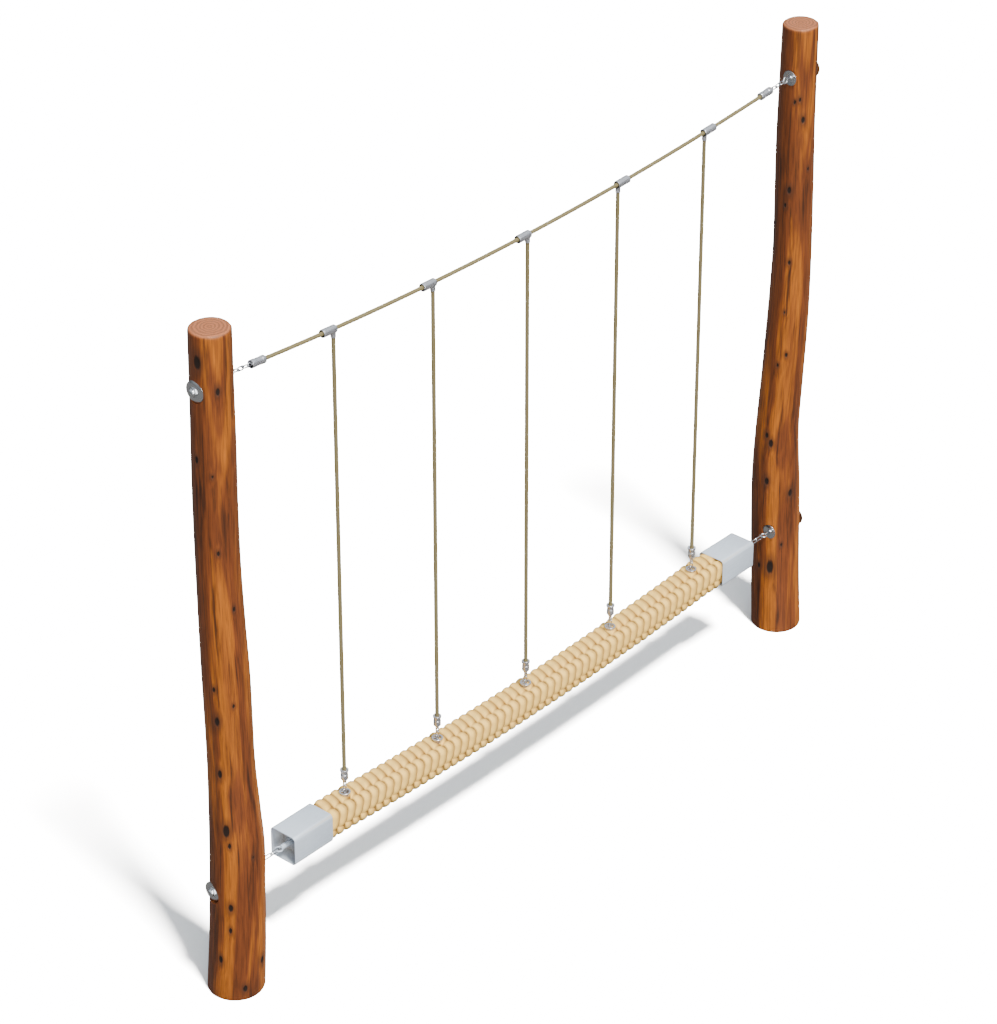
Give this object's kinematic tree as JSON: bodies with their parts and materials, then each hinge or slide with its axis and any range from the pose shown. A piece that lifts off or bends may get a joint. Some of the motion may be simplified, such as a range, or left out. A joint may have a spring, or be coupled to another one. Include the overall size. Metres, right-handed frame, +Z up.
{
  "type": "rope balance beam",
  "caption": "Thick braided rope beam slung between two round timber posts, with hand ropes hanging from a top rope and short steel chains at its ends.",
  "frame": {"origin": "on the ground, in the middle of the whole object", "axes": "+X along the beam from the left post to the right post, +Z up, +Y away from the side usually looked at"},
  "size_m": [3.431, 0.2822, 2.705],
  "materials": {
    "timber": "oiled, debarked robinia with lengthwise grain",
    "rope": "six-strand laid polyamide over a steel core",
    "braid": "thick square-plaited rope",
    "sleeve_steel": "satin galvanised sheet",
    "ferrule": "satin pressed ferrule",
    "bright_steel": "bright galvanised"
  },
  "bodies": {
    "frame": {"post_left": "timber", "post_right": "timber", "eye_bolt_left_upper": "bright_steel", "eye_bolt_right_upper": "bright_steel", "eye_bolt_left_lower": "bright_steel", "eye_bolt_right_lower": "bright_steel", "cap_nut_left_upper": "bright_steel", "cap_nut_right_upper": "bright_steel", "cap_nut_left_lower": "bright_steel", "cap_nut_right_lower": "bright_steel"},
    "ropes": {"upper_chain_link_left_1": "bright_steel", "upper_chain_link_left_2": "bright_steel", "upper_chain_link_left_3": "bright_steel", "upper_chain_link_left_4": "bright_steel", "upper_chain_link_right_1": "bright_steel", "upper_chain_link_right_2": "bright_steel", "upper_chain_link_right_3": "bright_steel", "upper_chain_link_right_4": "bright_steel", "end_ferrule_left": "ferrule", "end_ferrule_right": "ferrule", "top_rope": "rope", "tee_ferrule_1": "ferrule", "tee_ferrule_2": "ferrule", "tee_ferrule_3": "ferrule", "tee_ferrule_4": "ferrule", "tee_ferrule_5": "ferrule", "hand_rope_1": "rope", "hand_rope_2": "rope", "hand_rope_3": "rope", "hand_rope_4": "rope", "hand_rope_5": "rope", "rope_end_ferrule_1": "ferrule", "rope_end_ferrule_2": "ferrule", "rope_end_ferrule_3": "ferrule", "rope_end_ferrule_4": "ferrule", "rope_end_ferrule_5": "ferrule", "hanger_link_upper_1": "bright_steel", "hanger_link_upper_2": "bright_steel", "hanger_link_upper_3": "bright_steel", "hanger_link_upper_4": "bright_steel", "hanger_link_upper_5": "bright_steel"},
    "beam": {"hanger_link_lower_1": "bright_steel", "hanger_link_lower_2": "bright_steel", "hanger_link_lower_3": "bright_steel", "hanger_link_lower_4": "bright_steel", "hanger_link_lower_5": "bright_steel", "beam_socket_1": "ferrule", "beam_socket_2": "ferrule", "beam_socket_3": "ferrule", "beam_socket_4": "ferrule", "beam_socket_5": "ferrule", "braided_beam": "braid", "end_sleeve_left": "sleeve_steel", "end_sleeve_right": "sleeve_steel"},
    "end_chain_left": {"lower_chain_link_left_1": "bright_steel", "lower_chain_link_left_2": "bright_steel", "lower_chain_link_left_3": "bright_steel"},
    "end_chain_right": {"lower_chain_link_right_1": "bright_steel", "lower_chain_link_right_2": "bright_steel", "lower_chain_link_right_3": "bright_steel"}
  },
  "joints": [
    {"name": "rope_sway", "type": "hinge", "parent": "frame", "child": "ropes", "pos_m": [0, 0, 2.4873], "axis": [1, 0, 0], "range_deg": [-1, 1]},
    {"name": "beam_roll", "type": "hinge", "parent": "ropes", "child": "beam", "pos_m": [0, 0, 0.5209], "axis": [1, 0, 0], "range_deg": [-4.5, 4.5]},
    {"name": "end_chain_left_swing", "type": "hinge", "parent": "frame", "child": "end_chain_left", "pos_m": [-1.4772, 0, 0.461], "axis": [0, 0, 1], "range_deg": [-18, 18]},
    {"name": "end_chain_right_swing", "type": "hinge", "parent": "frame", "child": "end_chain_right", "pos_m": [1.4772, 0, 0.461], "axis": [0, 0, 1], "range_deg": [-18, 18]}
  ],
  "couplings": [
    {"joint": "end_chain_left_swing", "follows": "rope_sway", "ratio": 17.4},
    {"joint": "end_chain_right_swing", "follows": "rope_sway", "ratio": -17.4}
  ]
}
